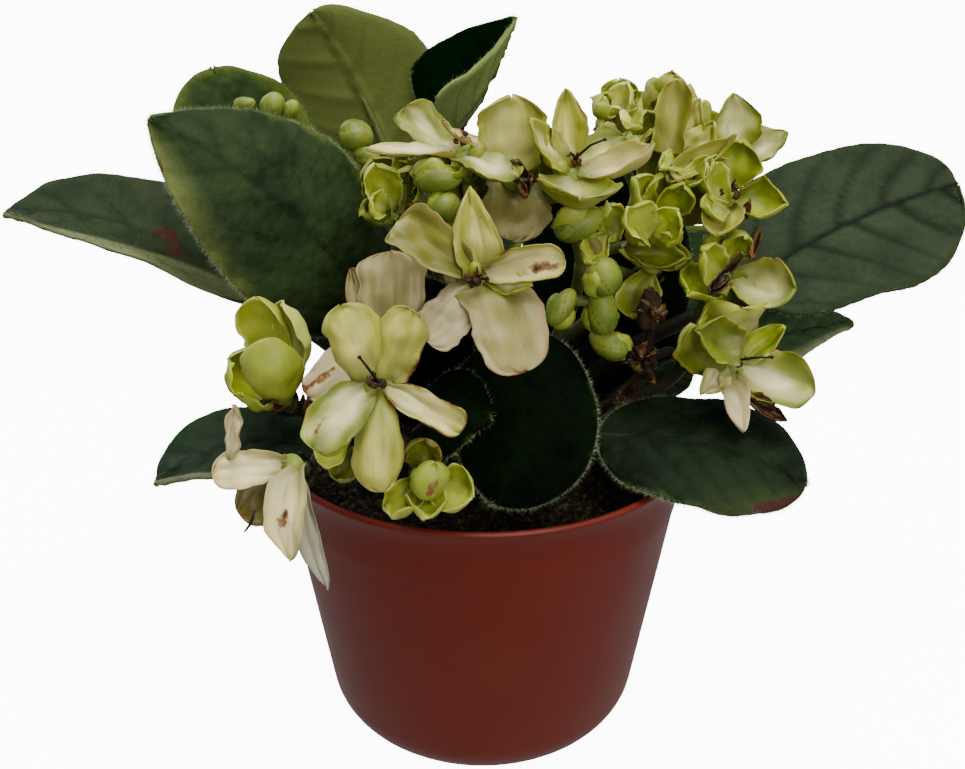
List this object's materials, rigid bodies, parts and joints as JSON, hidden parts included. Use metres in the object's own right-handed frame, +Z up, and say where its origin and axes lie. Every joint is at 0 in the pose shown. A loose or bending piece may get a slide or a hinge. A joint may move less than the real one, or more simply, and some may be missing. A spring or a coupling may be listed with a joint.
{
  "type": "potted african violet",
  "caption": "Miniature African violet in a small round plastic nursery pot, with broad dark hairy leaves and a mound of green and white blooms.",
  "frame": {"origin": "centre of the pot's flat underside", "axes": "+Z up along the pot's axis; the front, which the picture shows, faces -Y and +X is to its right"},
  "size_m": [0.135, 0.0914, 0.1031],
  "materials": {
    "pot_plastic": "satin red-brown moulded plastic",
    "soil": null,
    "leaf": null,
    "stem": "pale green fleshy stem; fabric stands in",
    "petal": "waxy green-edged white petal; fabric stands in",
    "bud": "pale green bud; fabric stands in",
    "dried": "dry brown stem and stamens; fabric stands in"
  },
  "bodies": {
    "root": {"bloom_back_left_green": "petal", "bloom_back_small": "petal", "bloom_back_tube": "petal", "bloom_centre_pale": "petal", "bloom_front_centre": "petal", "bloom_front_small": "petal", "bloom_front_white": "petal", "bloom_left_dried": "petal", "bloom_left_green": "petal", "bloom_mid_cup": "petal", "bloom_mid_olive": "petal", "bloom_right_back": "petal", "bloom_right_cup": "petal", "bloom_right_dry": "petal", "bloom_right_low": "petal", "bloom_right_mid_pale": "petal", "bloom_top_left": "petal", "bloom_top_mid": "petal", "bloom_top_white": "petal", "buds_back_left": "bud", "buds_middle": "bud", "crown": "stem", "leaf_back_folded": "leaf", "leaf_back_upright": "leaf", "leaf_front_left": "leaf", "leaf_front_right": "leaf", "leaf_inner": "leaf", "leaf_left_flat": "leaf", "leaf_left_low": "leaf", "leaf_left_rear": "leaf", "leaf_left_tall": "leaf", "leaf_middle": "leaf", "leaf_rear_a": "leaf", "leaf_rear_b": "leaf", "leaf_rear_c": "leaf", "leaf_rear_d": "leaf", "leaf_right_large": "leaf", "leaf_right_low": "leaf", "leaf_right_small": "leaf", "leaf_young": "leaf", "pot": "pot_plastic", "soil": "soil", "stalk_back_left": "stem", "stalk_centre": "stem", "stalk_dried": "dried", "stalk_front": "stem", "stalk_left": "stem", "stalk_middle": "stem", "stalk_right": "stem", "stalk_right_back": "stem", "stamens_centre_pale": "dried", "stamens_front_centre": "dried", "stamens_right_cup": "dried", "stamens_right_low": "dried", "stamens_top_left": "dried", "stamens_top_mid": "dried", "stamens_top_white": "dried"}
  },
  "joints": []
}
